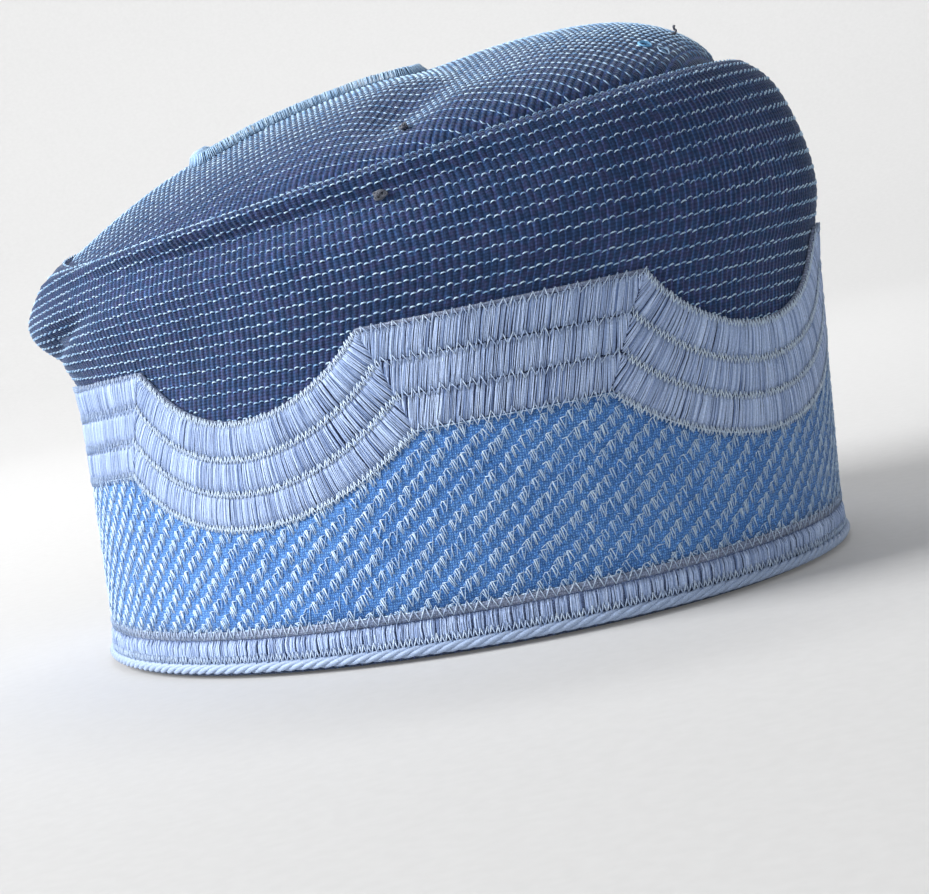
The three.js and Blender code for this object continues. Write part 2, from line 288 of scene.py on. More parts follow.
def level_edge(path):
    """A level line, with as many points as a wavy one."""
    count = len(SCOOP_ARCS) * (ARC_POINTS + LEVEL_POINTS)
    arc = np.linspace(0, AROUND, count, endpoint=False)
    return np.stack([arc, np.full(count, float(path))], -1)


def closed(edge):
    return np.concatenate([edge, edge[:1] + [[AROUND, 0]]])


def along(edge, place):
    """Points of a closed edge at fractional places in its list."""
    ring, n = closed(edge), len(edge)
    place = np.asarray(place) % n
    return np.stack([np.interp(place, np.arange(n + 1), ring[:, k]) for k in (0, 1)], -1)


def run_of(edge):
    """Distance along a closed edge at each of its points and at its end."""
    return np.concatenate([[0], np.cumsum(np.hypot(*np.diff(closed(edge), axis=0).T))])


def places_at(edge, lengths):
    """The fractional places of an edge at distances along it."""
    run = run_of(edge)
    return np.interp(lengths, run, np.arange(len(run)))


def path_under(edge, arc):
    """The path of an edge at arcs round the cap."""
    ring = np.concatenate([edge - [[AROUND, 0]], edge, edge + [[AROUND, 0]]])
    return np.interp(np.asarray(arc) % AROUND, ring[:, 0], ring[:, 1])


# Meshes
def make(name, points, faces, material, slot, replaces=(), uv=None, **values):
    """An object from points in millimetres about the hem's middle, riding on the one body."""
    mesh = bpy.data.meshes.new(name)
    points = (np.asarray(points).reshape(-1, 3) + RIM) * 0.001
    faces = [np.asarray(f) for f in faces if len(f)]
    sizes = np.concatenate([np.full(len(f), f.shape[1]) for f in faces])
    corners = np.concatenate([f.ravel() for f in faces])
    mesh.vertices.add(len(points))
    mesh.vertices.foreach_set("co", points.ravel())
    mesh.loops.add(len(corners))
    mesh.loops.foreach_set("vertex_index", corners.astype(np.int32))
    mesh.polygons.add(len(sizes))
    mesh.polygons.foreach_set("loop_start", (np.cumsum(sizes) - sizes).astype(np.int32))
    mesh.polygons.foreach_set("use_smooth", np.ones(len(sizes), bool))
    mesh.update(calc_edges=True)
    mesh.validate()
    if uv is not None:
        layer = mesh.uv_layers.new(name="cloth")
        layer.data.foreach_set("uv", (np.asarray(uv).reshape(-1, 2)[corners] / 100).ravel())
    for key, value in values.items():
        attribute = mesh.attributes.new(key, "FLOAT", "POINT")
        attribute.data.foreach_set("value", np.asarray(value, np.float32).ravel())
    mesh.materials.append(material)
    obj = bpy.data.objects.new(name, mesh)
    bpy.context.scene.collection.objects.link(obj)
    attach(obj, "root")
    for node in replaces:
        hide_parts(node)
    return obj


def grid_faces(rows, columns, close_rows=False):
    r, c = np.meshgrid(np.arange(rows if close_rows else rows - 1), np.arange(columns), indexing="ij")
    up, on = (r + 1) % rows, (c + 1) % columns
    corners = [r * columns + c, r * columns + on, up * columns + on, up * columns + c]
    return np.stack(corners, -1).reshape(-1, 4)


def tubes(points, normals, width, height, sides=4, ring=False, start=0.5):
    """Threads: one tube through each row of points, with flat ends or closed on itself."""
    points = np.asarray(points, float)
    n, k, _ = points.shape
    ahead = np.roll(points, -1, 1) - np.roll(points, 1, 1) if ring else np.gradient(points, axis=1)
    ahead = unit(ahead)
    side = unit(np.cross(ahead, normals))
    out = unit(np.cross(side, ahead))
    width, height = np.broadcast_to(width, (n, k)), np.broadcast_to(height, (n, k))
    roll = (np.arange(sides) + start) / sides * 2 * np.pi
    skin = (
        points[:, :, None]
        + side[:, :, None] * (np.cos(roll) * width[..., None])[..., None]
        + out[:, :, None] * (np.sin(roll) * height[..., None])[..., None]
    )
    base = (np.arange(n) * k * sides)[:, None]
    faces = [(base + grid_faces(k, sides, close_rows=ring)[:, ::-1].reshape(1, -1)).reshape(-1, 4)]
    if not ring:
        faces.append(np.concatenate([base + np.arange(sides), base + k * sides - 1 - np.arange(sides)]))
    return skin.reshape(-1, 3), faces


def threads(name, points, normals, width, height, material, slot, tint=None, sides=4, start=0.5):
    n, k, _ = points.shape
    skin, faces = tubes(points, normals, width, height, sides, start=start)
    tint = rng.uniform(0, 1, n) if tint is None else tint
    return make(name, skin, faces, material, slot, tint=np.repeat(tint, k * sides))


def pad(name, foot, top, low, high, material, slot, replaces=(), rows=2):
    """A closed pad on the wall between two edges, from lift low to lift high."""
    lines = [foot + (top - foot) * t for t in np.linspace(0, 1, rows)]
    outside = [on_wall(e[:, 0], e[:, 1], high)[0] for e in lines]
    inside = [on_wall(e[:, 0], e[:, 1], low)[0] for e in lines]
    rings, uv = np.stack(outside + inside[::-1]), np.stack(lines + lines[::-1])
    faces = [grid_faces(len(rings), len(foot), close_rows=True)]
    return make(name, rings, faces, material, slot, replaces, uv=uv)


# Materials
def srgb(r, g, b):
    return tuple(((c / 255 + 0.055) / 1.055) ** 2.4 if c > 10 else c / 255 / 12.92 for c in (r, g, b))


def grey(v):
    return (v, v, v)


class Cloth:
    """A principled material and short ways to add to its nodes."""

    def __init__(self, name, roughness, sheen=0.0, specular=0.3):
        self.material = bpy.data.materials.new(name)
        self.material.use_nodes = True
        self.nodes, self.links = self.material.node_tree.nodes, self.material.node_tree.links
        self.shader = self.nodes["Principled BSDF"]
        self.shader.inputs["Roughness"].default_value = roughness
        self.shader.inputs["Specular IOR Level"].default_value = specular
        self.shader.inputs["Sheen Weight"].default_value = sheen
        self.shader.inputs["Sheen Roughness"].default_value = 0.4
        self.shader.inputs["Sheen Tint"].default_value = (0.66, 0.8, 1.0, 1)

    def place(self):
        return self.nodes.new("ShaderNodeTexCoord").outputs["Object"]

    def uv(self, scale=(1, 1, 1)):
        node = self.nodes.new("ShaderNodeUVMap")
        node.uv_map = "cloth"
        mapping = self.nodes.new("ShaderNodeMapping")
        mapping.inputs["Scale"].default_value = scale
        self.links.new(node.outputs["UV"], mapping.inputs["Vector"])
        return mapping.outputs["Vector"]

    def attribute(self, name):
        node = self.nodes.new("ShaderNodeAttribute")
        node.attribute_name = name
        return node.outputs["Fac"]

    def noise(self, source, scale, detail=2.0):
        node = self.nodes.new("ShaderNodeTexNoise")
        node.inputs["Scale"].default_value = scale
        node.inputs["Detail"].default_value = detail
        self.links.new(source, node.inputs["Vector"])
        return node.outputs["Fac"]

    def wave(self, source, direction, pitch, distortion):
        """Bands with a pitch in millimetres along one way of the cloth."""
        node = self.nodes.new("ShaderNodeTexWave")
        node.bands_direction = direction
        node.inputs["Scale"].default_value = 2 * math.pi / (20 * pitch / 100)
        node.inputs["Distortion"].default_value = distortion
        node.inputs["Detail Scale"].default_value = 2.0
        self.links.new(source, node.inputs["Vector"])
        return node.outputs["Fac"]

    def ramp(self, factor, *stops):
        node = self.nodes.new("ShaderNodeValToRGB")
        self.links.new(factor, node.inputs["Fac"])
        elements = node.color_ramp.elements
        while len(elements) < len(stops):
            elements.new(0.5)
        for element, (at, colour) in zip(elements, stops):
            element.position = at
            element.color = (*colour, 1)
        return node.outputs["Color"]

    def multiply(self, factor, a, b):
        node = self.nodes.new("ShaderNodeMix")
        node.data_type, node.blend_type = "RGBA", "MULTIPLY"
        node.inputs[0].default_value = factor
        self.links.new(a, node.inputs[6])
        self.links.new(b, node.inputs[7])
        return node.outputs[2]

    def maths(self, operation, a, b):
        node = self.nodes.new("ShaderNodeMath")
        node.operation = operation
        self.links.new(a, node.inputs[0])
        self.links.new(b, node.inputs[1])
        return node.outputs[0]

    def finish(self, colour, height=None, strength=0.4, distance=0.0001):
        self.links.new(colour, self.shader.inputs["Base Color"])
        if height is not None:
            node = self.nodes.new("ShaderNodeBump")
            node.inputs["Strength"].default_value = strength
            node.inputs["Distance"].default_value = distance
            self.links.new(height, node.inputs["Height"])
            self.links.new(node.outputs["Normal"], self.shader.inputs["Normal"])
        return self.material


def ribbed_cloth(name):
    """Navy ribbed cloth: pale in the grooves, with faint purple patches, yarns and a fine weft."""
    c = Cloth(name, 0.85, sheen=0.4, specular=0.12)
    place = c.place()
    colour = c.ramp(
        c.noise(place, 420, 2),
        (0.3, srgb(42, 66, 104)), (0.47, srgb(47, 68, 106)),
        (0.6, srgb(58, 66, 105)), (0.72, srgb(54, 80, 122)),
    )
    patches = c.ramp(c.noise(place, 60, 2), (0.35, (0.8, 0.85, 0.9)), (0.65, (1.2, 1.15, 1.15)))
    colour = c.multiply(0.8, colour, patches)
    yarn = c.noise(c.uv((260, 55, 1)), 1.0, 3)
    colour = c.multiply(0.7, colour, c.ramp(yarn, (0.3, grey(0.55)), (0.7, grey(1.4))))
    weft = c.wave(c.uv(), "Y", 0.76, 3.0)
    colour = c.multiply(0.55, colour, c.ramp(weft, (0.1, grey(0.6)), (0.8, grey(1.25))))
    grooves = c.ramp(
        c.attribute("relief"), (0.05, grey(2.7)), (0.35, grey(1.6)), (0.6, grey(0.68)), (1.0, grey(0.66)),
    )
    colour = c.multiply(1.0, colour, grooves)
    return c.finish(colour, c.maths("ADD", weft, yarn), 0.7, 0.00015)


def stitching(name, dark, light, roughness=0.5, sheen=0.25, specular=0.35):
    """Embroidery thread: each stitch has its own tint, with a fine twist of fibres."""
    c = Cloth(name, roughness, sheen, specular)
    colour = c.ramp(c.attribute("tint"), (0.0, dark), (1.0, light))
    fibre = c.noise(c.place(), 2600, 3)
    colour = c.multiply(0.6, colour, c.ramp(fibre, (0.3, grey(0.72)), (0.7, grey(1.2))))
    return c.finish(colour, fibre, 0.35)


def plain_weave(name, ground, speck, pitch=0.55):
    """Plain weave: fine crossing threads, light where one passes over."""
    c = Cloth(name, 0.75, sheen=0.3, specular=0.2)
    uv, place = c.uv(), c.place()
    cross = c.maths("MULTIPLY", c.wave(uv, "X", pitch, 4.0), c.wave(uv, "Y", pitch, 4.0))
    colour = c.ramp(cross, (0.1, ground), (0.9, speck))
    colour = c.multiply(0.85, colour, c.ramp(c.noise(place, 1900, 3), (0.32, grey(0.45)), (0.68, grey(1.45))))
    patch = c.ramp(c.noise(place, 70, 2), (0.35, (0.86, 0.9, 0.95)), (0.65, (1.1, 1.06, 1.04)))
    return c.finish(c.multiply(1.0, colour, patch), cross, 0.5, 0.00015)


navy_cloth = ribbed_cloth("navy_cloth")
line_thread = stitching("line_thread", srgb(110, 154, 198), srgb(190, 218, 240))
satin_thread = stitching("satin_thread", srgb(109, 132, 177), srgb(194, 214, 247), specular=0.2)
satin_ground = plain_weave("satin_ground", srgb(46, 58, 88), srgb(66, 80, 116))
hem_ground = plain_weave("hem_ground", srgb(96, 114, 152), srgb(122, 142, 180))
edge_thread = stitching("edge_thread", srgb(142, 166, 206), srgb(214, 232, 248))
pale_thread = stitching("pale_thread", srgb(128, 166, 204), srgb(182, 210, 234))
backing = plain_weave("backing_cloth", srgb(112, 124, 150), srgb(150, 162, 186))
field_cloth = plain_weave("field_cloth", srgb(56, 103, 169), srgb(112, 163, 215))
field_thread = stitching("field_thread", srgb(116, 157, 207), srgb(206, 226, 244))
cord_thread = stitching("cord_thread", srgb(132, 152, 186), srgb(168, 186, 214))
dark_thread = stitching("dark_thread", srgb(40, 44, 58), srgb(96, 100, 112))
blue_thread = stitching("blue_thread", srgb(84, 150, 200), srgb(120, 180, 222))

# The cloth wall: ribs run up it, pinched at each line of dashes
ribs = 2 * int(round(AROUND / RIB / 2))
columns = RIB_STEPS * ribs
drift = rng.uniform(-0.08, 0.08, ribs)
arc = np.arange(columns) / columns * AROUND + np.repeat(drift, RIB_STEPS)
line_paths = FIRST_LINE + LINE_SPACING * np.arange(int((SEAM_PATH - 0.8 - FIRST_LINE) / LINE_SPACING) + 1)
half_rows = np.sort(np.concatenate([line_paths, line_paths[:-1] + LINE_SPACING / 2]))
outer_paths = np.concatenate([[0.0, 2.0, 30.0], half_rows, [SEAM_PATH]])
pinched = np.isin(outer_paths, line_paths)[:, None]
uneven = rng.normal(0, RELIEF_SPREAD, (len(outer_paths), ribs)).repeat(RIB_STEPS, 1)
swell = np.where(pinched, LINE_PINCH, LINE_SWELL) + uneven
relief = np.tile(RIB_SHAPE, ribs // 2)[None] * np.where(pinched, 0.75, 1.0) + swell
fade = (np.clip((outer_paths - RIB_FOOT) / 10, 0, 1) * np.clip(SEAM_PATH - outer_paths, 0, 1))[:, None]


def slanted(path):
    """How far a rib has drifted round the cap at a path."""
    return RIB_SLANT * np.maximum(path - RIB_FOOT, 0)


def sagged(arc, path):
    """The path of a line of the weave, which sags at the front left."""
    sag = LINE_SAG * bell(turn(angle_of(arc % AROUND), FRONT_LEFT), 32) * bell(path - 104, 18)
    return path - sag * np.clip((SEAM_PATH - path) / 6, 0, 1)


def relief_share(relief):
    """Relief for the material, from 0 in the deepest groove to 1 on the highest rib."""
    return np.clip((relief - RELIEF_LOW) / RELIEF_RANGE, 0, 1)


outer_arc = arc[None] + slanted(outer_paths)[:, None]
outside, _ = on_wall(outer_arc, sagged(outer_arc, outer_paths[:, None]), relief * fade)
inner_paths = np.array([SEAM_PATH, 117, 114, 110, 104, 98, 90, 83, 76, 66, 2.0, 0.0])
depth = np.full((len(inner_paths), 1), -CLOTH_THICK)
inside, _ = on_wall(arc[None] + slanted(inner_paths)[:, None], inner_paths[:, None], depth)
inside[0] = outside[-1] - [0, 0, CLOTH_THICK]
outside[0, :, 2] = inside[-1, :, 2] = 0.0
skin = np.concatenate([outside, inside])
height = np.concatenate([relief_share(relief), np.full((len(inner_paths), columns), PLAIN_RELIEF)])
uv = np.stack(both(arc[None], np.concatenate([outer_paths, inner_paths])[:, None]), -1)
make(
    "crown_wall_cloth", skin, [grid_faces(len(skin), columns, close_rows=True)], navy_cloth, "crown_wall",
    ["crown_wall"], uv=uv, relief=height,
)


def dashes(name, count, place, slot):
    """One short stitch over each rib: place gives its points from steps along and across it, and its lift."""
    steps, arch, lift, wide, high = DASH.T
    half = DASH_HALF + rng.uniform(-0.08, 0.08, (count, 1))
    across = arch * rng.uniform(0.7, 1.3, (count, 1)) + rng.normal(0, 0.06, (count, 1))
    points, out = place(half * steps, across, lift + np.zeros((count, 1)))
    wide = wide * rng.uniform(0.8, 1.15, (count, 1))
    threads(name, points, out, wide, high, line_thread, slot, sides=3)


rib_arc = (np.arange(ribs) + 0.5) * AROUND / ribs + drift
dash_arc, dash_path = (v.ravel() for v in np.meshgrid(rib_arc, line_paths))
dash_arc = dash_arc + slanted(dash_path)
raised = np.abs(turn(angle_of(dash_arc % AROUND), FRONT_LEFT)) < RAISED_SEAM
seen = (dash_path > path_under(wave_edge(0), dash_arc) - 0.5) & ((dash_path < LAST_LINE) | raised)
dash_path = sagged(dash_arc, dash_path) + 0.16 * (-1) ** np.arange(len(dash_path))
dash_arc, dash_path = dash_arc[seen][:, None], dash_path[seen][:, None]


def on_wall_line(steps, across, lift):
    return on_wall(dash_arc + steps, dash_path + across, lift)


dashes("crown_wall_lines", len(dash_arc), on_wall_line, "crown_wall")

# The top panel: its weave is turned, so that its lines run beside the satin outline
TURN_COS, TURN_SIN = math.cos(TOP_TURN), math.sin(TOP_TURN)


def on_weave(p, q, lift):
    """Points of the top panel from places across and along its lines."""
    return on_top(p * TURN_COS - q * TURN_SIN, p * TURN_SIN + q * TURN_COS, lift)


# The panel's oval in the turned frame: OVAL_PP p^2 + 2 OVAL_PQ p q + OVAL_QQ q^2 = 1
inverse_squares = 1 / TOP_HALF**2
OVAL_PP = TURN_COS**2 * inverse_squares[0] + TURN_SIN**2 * inverse_squares[1]
OVAL_PQ = TURN_COS * TURN_SIN * (inverse_squares[1] - inverse_squares[0])
OVAL_QQ = TURN_SIN**2 * inverse_squares[0] + TURN_COS**2 * inverse_squares[1]
P_HALF, Q_HALF = (math.sqrt(k / (OVAL_PP * OVAL_QQ - OVAL_PQ * OVAL_PQ)) for k in (OVAL_QQ, OVAL_PP))


def oval(p, q):
    """0 in the middle of the panel and 1 at its edge, as a square."""
    return OVAL_PP * p**2 + 2 * OVAL_PQ * p * q + OVAL_QQ * q**2


rib_rows = int(Q_HALF / RIB) * 2
ys = np.linspace(-1, 1, rib_rows * RIB_STEPS + 1) * Q_HALF * 0.9995
count = int(P_HALF / LINE_SPACING)
top_lines = np.arange(-count, count + 1) * LINE_SPACING
xs = np.sort(np.concatenate([top_lines, top_lines[:-1] + LINE_SPACING / 2]))
spread = np.sqrt(np.maximum(0, (OVAL_PQ * ys) ** 2 - OVAL_PP * (OVAL_QQ * ys**2 - 1)))
low, high = ((-OVAL_PQ * ys + side * spread) / OVAL_PP for side in (-1, 1))
low, high = low[:, None], high[:, None]
first = np.maximum((xs[None] > low + 0.3).argmax(1) - 1, 0)[:, None]
last = np.minimum(len(xs) - (xs[None, ::-1] < high - 0.3).argmax(1), len(xs) - 1)[:, None]
index = np.clip(np.arange(len(xs))[None], first, last)
grid_x = np.where(index == first, low, np.where(index == last, high, xs[index]))
grid_y = np.broadcast_to(ys[:, None], grid_x.shape)
row_shape = np.tile(RIB_SHAPE, rib_rows)[: len(ys)]
column_pinch = np.where(np.isin(xs, top_lines), LINE_PINCH, LINE_SWELL)
top_relief = row_shape[:, None] + column_pinch[None] + rng.normal(0, RELIEF_SPREAD, grid_x.shape)
share = np.sqrt(oval(grid_x, grid_y))
points, _ = on_weave(grid_x, grid_y, top_relief * np.clip((1 - share) / 0.01, 0, 1))
ids = np.arange(len(ys))[:, None] * len(xs) + index
quads = np.stack([ids[:-1, :-1], ids[:-1, 1:], ids[1:, 1:], ids[1:, :-1]], -1).reshape(-1, 4)
distinct = np.array([len(set(q)) for q in quads.tolist()])
whole = quads[distinct == 4]
corners = np.array([list(dict.fromkeys(q)) for q in quads[distinct == 3].tolist()])
ends = [row[np.unique(row, return_index=True)[1]] for row in (ids[0], ids[-1])]
rim = np.concatenate([ends[0], ids[1:-1, -1], ends[1][::-1], ids[1:-1, 0][::-1]])
rim_x, rim_y = grid_x.ravel()[rim], grid_y.ravel()[rim]
under = [points.reshape(-1, 3)[rim] - [0, 0, CLOTH_THICK]]
for size in (0.93, 0.75, 0.45, 0.12):
    under.append(on_weave(rim_x * size, rim_y * size, np.full(len(rim_x), -CLOTH_THICK))[0])
used, inverse = np.unique(np.concatenate([whole.ravel(), corners.ravel(), rim]), return_inverse=True)
whole, corners, rim = np.split(inverse, [whole.size, whole.size + corners.size])
loops = np.concatenate([rim, len(used) + np.arange(len(under) * len(rim))]).reshape(-1, len(rim))
onward = np.roll(loops, -1, 1)
walls = np.stack([loops[:-1], loops[1:], onward[1:], onward[:-1]], -1).reshape(-1, 4)
height = relief_share(top_relief.ravel()[used])
uv = np.stack([grid_y.ravel()[used], grid_x.ravel()[used]], -1)
make(
    "crown_top_cloth", np.concatenate([points.reshape(-1, 3)[used], *under]),
    [whole.reshape(-1, 4), corners.reshape(-1, 3), walls, loops[-1][None, ::-1]],
    navy_cloth, "crown_top", ["crown_top"],
    uv=np.concatenate([uv, np.zeros((len(under) * len(rim), 2))]),
    relief=np.concatenate([height, np.full(len(under) * len(rim), PLAIN_RELIEF)]),
)
rib_y = ((np.arange(rib_rows) + 0.5) / rib_rows * 2 - 1) * Q_HALF
dash_x, dash_y = (v.ravel() for v in np.meshgrid(top_lines, rib_y))
seen = oval(dash_x, dash_y) < 0.97
dash_x, dash_y = dash_x[seen][:, None], dash_y[seen][:, None]


def on_top_line(steps, across, lift):
    return on_weave(dash_x + across, dash_y + steps, lift)


dashes("crown_top_lines", len(dash_x), on_top_line, "crown_top")


# Satin: threads lie side by side in loose bundles, drawn together at some of their ends
def bundled(total, spacing, bundle, draw=0.4, sizes=(0.5, 1.7), chance=0.6):
    """Places of threads along a line, for each of their two ends."""
    upper, lower, at = [], [], 0.0
    while at < total - 0.2:
        width = min(bundle * rng.uniform(*sizes), total - at)
        n = max(1, int(round(width / spacing)))
        places = at + (np.arange(n) + 0.5) / n * width + rng.normal(0, 0.04, n)
        for ends in (upper, lower):
            grip = rng.uniform(0.2, 1) * draw if rng.uniform() < chance else 0.0
            ends.append(places + (at + width / 2 - places) * grip)
        at += width
    return np.concatenate(upper), np.concatenate(lower)


def stripe_ends(top, foot, spacing, bundle, draw):
    """Ends of a stripe's threads, as (arc, path): across the level parts, and outward round the scoops."""
    starts, stops = [], []
    near, far = SCOOP_RADIUS + top, SCOOP_RADIUS + foot
    top_ends, foot_ends = scoop_ends(top), scoop_ends(foot)
    for i, m in enumerate(SCOOP_ARCS):
        left, right = (math.asin(h / near) for h in top_ends[i])
        foot_left, foot_right = (math.asin(h / far) for h in foot_ends[i])
        radius = (near + far) / 2
        u, v = (p / radius - left for p in bundled((left + right) * radius, spacing, bundle, draw))
        part = np.clip(np.minimum((v + left) / (left - foot_left), (right - v) / (right - foot_right)), 0, 1)
        reach = near + part * (far - near)
        starts.append(np.stack([m + near * np.sin(u), SCOOP_CENTRE - near * np.cos(u)], -1)[part > 0.1])
        stops.append(np.stack([m + reach * np.sin(v), SCOOP_CENTRE - reach * np.cos(v)], -1)[part > 0.1])
        j = (i + 1) % 4
        following = SCOOP_ARCS[j] + (AROUND if i == 3 else 0)
        start, end = m + top_ends[i][1], following - top_ends[j][0]
        foot_start, foot_end = m + foot_ends[i][1], following - foot_ends[j][0]
        u, v = (p + start for p in bundled(end - start, spacing, bundle, draw))
        part = np.clip(np.minimum((v - start) / (foot_start - start), (end - v) / (end - foot_end)), 0, 1)
        shear = SATIN_SHEAR / 2 * part * np.clip(np.minimum(v - start, end - v) / 6, 0, 1)
        reach = level(v, top) + part * (level(v, foot) - level(v, top))
        starts.append(np.stack([u + shear, level(u, top)], -1)[part > 0.1])
        stops.append(np.stack([v - shear, reach], -1)[part > 0.1])
    return np.concatenate(starts), np.concatenate(stops)


def satin(name, starts, stops, lift, rise, spacing, slot, on=on_wall, material=satin_thread, vary=0.2):
    """Threads that arch from their starts to their stops, over a surface."""
    n = len(starts)
    ahead = unit(stops - starts)
    starts = starts + ahead * rng.uniform(-SATIN_UNEVEN, SATIN_UNEVEN, (n, 1))
    stops = stops + ahead * rng.uniform(-SATIN_UNEVEN, SATIN_UNEVEN, (n, 1))
    lines = starts[:, None] + (stops - starts)[:, None] * np.array([0.0, 0.28, 0.72, 1.0])[:, None]
    lines[:, 1:3] += rng.normal(0, 0.06, (n, 2, 2))
    height = rng.uniform(0.95 - vary, 0.95 + vary, (n, 1))
    arch = lift + rise * np.array([0.0, 0.85, 0.85, 0.0])[None] * height
    curve, out = on(lines[..., 0], lines[..., 1], arch)
    wide = spacing * 0.55 * rng.uniform(0.85, 1.15, (n, 1)) * np.array([0.8, 1, 1, 0.8])
    tint = np.clip(rng.normal(0.52, 0.27, n), 0, 1)
    return threads(name, curve, out, wide, 0.2, material, slot, tint)


def zigzag(
    name, tip_edge, foot_edge, lift, slot, pitch, arc_pitch=None,
    thick=0.125, tint=(0.1, 0.65), arc_tint=(0.5, 1.0),
):
    """Spikes along an edge, closer together and paler round the scoops where an arc pitch is given."""
    middle = (tip_edge + foot_edge) / 2
    total = run_of(middle)[-1]
    at, feet, curved = 0.0, [], []
    while at < total - 0.6:
        place = float(places_at(middle, at)) % (ARC_POINTS + LEVEL_POINTS)
        on_arc = arc_pitch is not None and place < ARC_POINTS
        feet.append(at)
        curved.append(on_arc)
        at += (arc_pitch if on_arc else pitch) * rng.uniform(0.85, 1.15)
    feet, curved = np.array(feet + [total]), np.array(curved + curved[:1])

    def off_middle(edge, lengths, arched):
        place = places_at(middle, lengths) - 1e-6
        line = along(middle, place)
        return line + (along(edge, place) - line) * np.where(arched, 0.72, 1.0)[:, None]

    ground = off_middle(foot_edge, feet, curved)
    low, after, curved = ground[:-1], ground[1:], curved[:-1]
    high = off_middle(tip_edge, (feet[:-1] + feet[1:]) / 2 + rng.normal(0, 0.1, len(low)), curved)
    high = high + rng.normal(0, 0.14, low.shape)
    strokes = []
    for a, b in ((low, high), (high, after)):
        b = np.stack([a[:, 0] + (b[:, 0] - a[:, 0] + AROUND / 2) % AROUND - AROUND / 2, b[:, 1]], -1)
        strokes.append(np.stack([a, (a + b) / 2, b], 1))
    strokes, curved = np.concatenate(strokes), np.concatenate([curved, curved])
    n = len(strokes)
    arch = lift + np.array([0.0, 0.25, 0.1])[None] * rng.uniform(0.8, 1.2, (n, 1))
    curve, out = on_wall(strokes[..., 0], strokes[..., 1], arch)
    wide = thick * rng.uniform(0.85, 1.15, (n, 1)) * np.where(curved, 1.1, 1.0)[:, None]
    shade = np.where(curved, rng.uniform(*arc_tint, n), rng.uniform(*tint, n))
    return threads(name, curve, out, wide, wide, edge_thread, slot, shade, sides=3, start=0.25)


STRIPES = ("stripe_upper", "stripe_middle", "stripe_lower")
for i, node in enumerate(STRIPES):
    top, foot = i * STRIPE_WIDTH, (i + 1) * STRIPE_WIDTH
    ground_foot, ground_top = wave_edge(foot - 0.1), wave_edge(top + 0.15)
    pad(node + "_ground", ground_foot, ground_top, GAP, GAP + STRIPE_PAD, satin_ground, node, [node])
    starts, stops = stripe_ends(top + 0.2, foot - 0.05, SATIN_SPACING, 0.85, 0.45)
    satin(node + "_satin", starts, stops, SATIN_LIFT, SATIN_RISE, SATIN_SPACING, node)
pad("stripe_upper_backing", wave_edge(0.6), wave_edge(-0.6), GAP, GAP + 0.75, backing, "stripe_upper")
for i, node in enumerate(STRIPES + ("stripe_lower",)):
    below = i * STRIPE_WIDTH
    name = node + ("_edge" if i < 3 else "_foot_edge")
    tips, feet = wave_edge(below - EDGE_OUT), wave_edge(below + EDGE_IN)
    zigzag(name, tips, feet, 1.4 if i else 1.2, node, EDGE_PITCH, EDGE_ARC_PITCH)

# The blue field and its diagonal rows of zigzag stitches
top = wave_edge(3 * STRIPE_WIDTH + 0.1)
foot = np.stack([top[:, 0], np.full(len(top), STRIP_TOP + GAP)], -1)
pad("band_field_cloth", foot, top, GAP, GAP + FIELD_PAD, field_cloth, "band_field", ["band_field"], rows=8)
row, tooth = (v.ravel() for v in np.meshgrid(np.arange(FIELD_ROWS), np.arange(-1, 32)))
phase = rng.uniform(0, 1, FIELD_ROWS)[row]
row_foot = np.stack([row * AROUND / FIELD_ROWS, np.full(len(row), STRIP_TOP)], -1)
corner = row_foot + (tooth + phase)[:, None] * TOOTH
corner = corner + rng.normal(0, 0.18, corner.shape)
strokes, thick, tint = [], [], []
for x0, y0, x1, y1, wide, shade in STITCH:
    a = corner + [x0, y0] + rng.normal(0, 0.08, corner.shape)
    b = corner + [x1, y1] + rng.normal(0, 0.2, corner.shape)
    strokes.append(np.stack([a, b], 1))
    thick.append(wide * rng.uniform(0.8, 1.2, len(a)))
    tint.append(np.clip(rng.normal(shade, 0.18, len(a)), 0, 1))
strokes, thick, tint = np.concatenate(strokes), np.concatenate(thick), np.concatenate(tint)
limit = path_under(top, strokes[:, :, 0]) - 0.2
strokes[:, :, 1] = np.clip(strokes[:, :, 1], STRIP_TOP + 0.6, limit)
kept = rng.uniform(0, 1, len(strokes)) < FIELD_KEPT
seen = (np.ptp(strokes, axis=1).max(1) > SHORTEST_STROKE) & kept
strokes, thick, tint = strokes[seen], thick[seen][:, None], tint[seen]
arch = FIELD_LIFT + np.array([0.3, 0.08])[None] * rng.uniform(0.7, 1.3, (len(strokes), 1))
curve, out = on_wall(strokes[..., 0], strokes[..., 1], arch)
wide = thick * np.array([1.1, 0.75])
threads("band_field_stitches", curve, out, wide, thick * 0.9, field_thread, "band_field", tint, sides=3)

# The hem: spikes over a pale backing, puffed satin bundles, close zigzags and a twisted cord
hem_foot, hem_top = level_edge(3.1), level_edge(STRIP_TOP)
pad("hem_strip_ground", hem_foot, hem_top, GAP, GAP + 0.7, hem_ground, "hem_strip", ["hem_strip"])
pad("hem_strip_backing", level_edge(8.6), level_edge(10.4), GAP + 0.85, GAP + 1.05, backing, "hem_strip")
u, v = bundled(AROUND, HEM_SPACING, HEM_BUNDLE, 0.26, (0.8, 1.25), 1.0)
starts = np.stack([u, np.full(len(u), HEM_SATIN_TOP)], -1)
stops = np.stack([v, np.full(len(v), HEM_SATIN_FOOT)], -1)
satin("hem_strip_satin", starts, stops, 1.05, 0.75, HEM_SPACING, "hem_strip")
zigzag("hem_strip_spikes", level_edge(11.2), level_edge(8.6), 1.35, "hem_strip", 2.5, tint=(0.2, 0.7))
tips, feet = level_edge(5.0), level_edge(2.8)
zigzag("hem_strip_foot", tips, feet, 1.8, "hem_strip", 1.2, thick=0.15, tint=(0.15, 0.7))
turns = int(round(AROUND / CORD_PITCH))
run = np.arange(turns * CORD_STEPS) / (turns * CORD_STEPS)
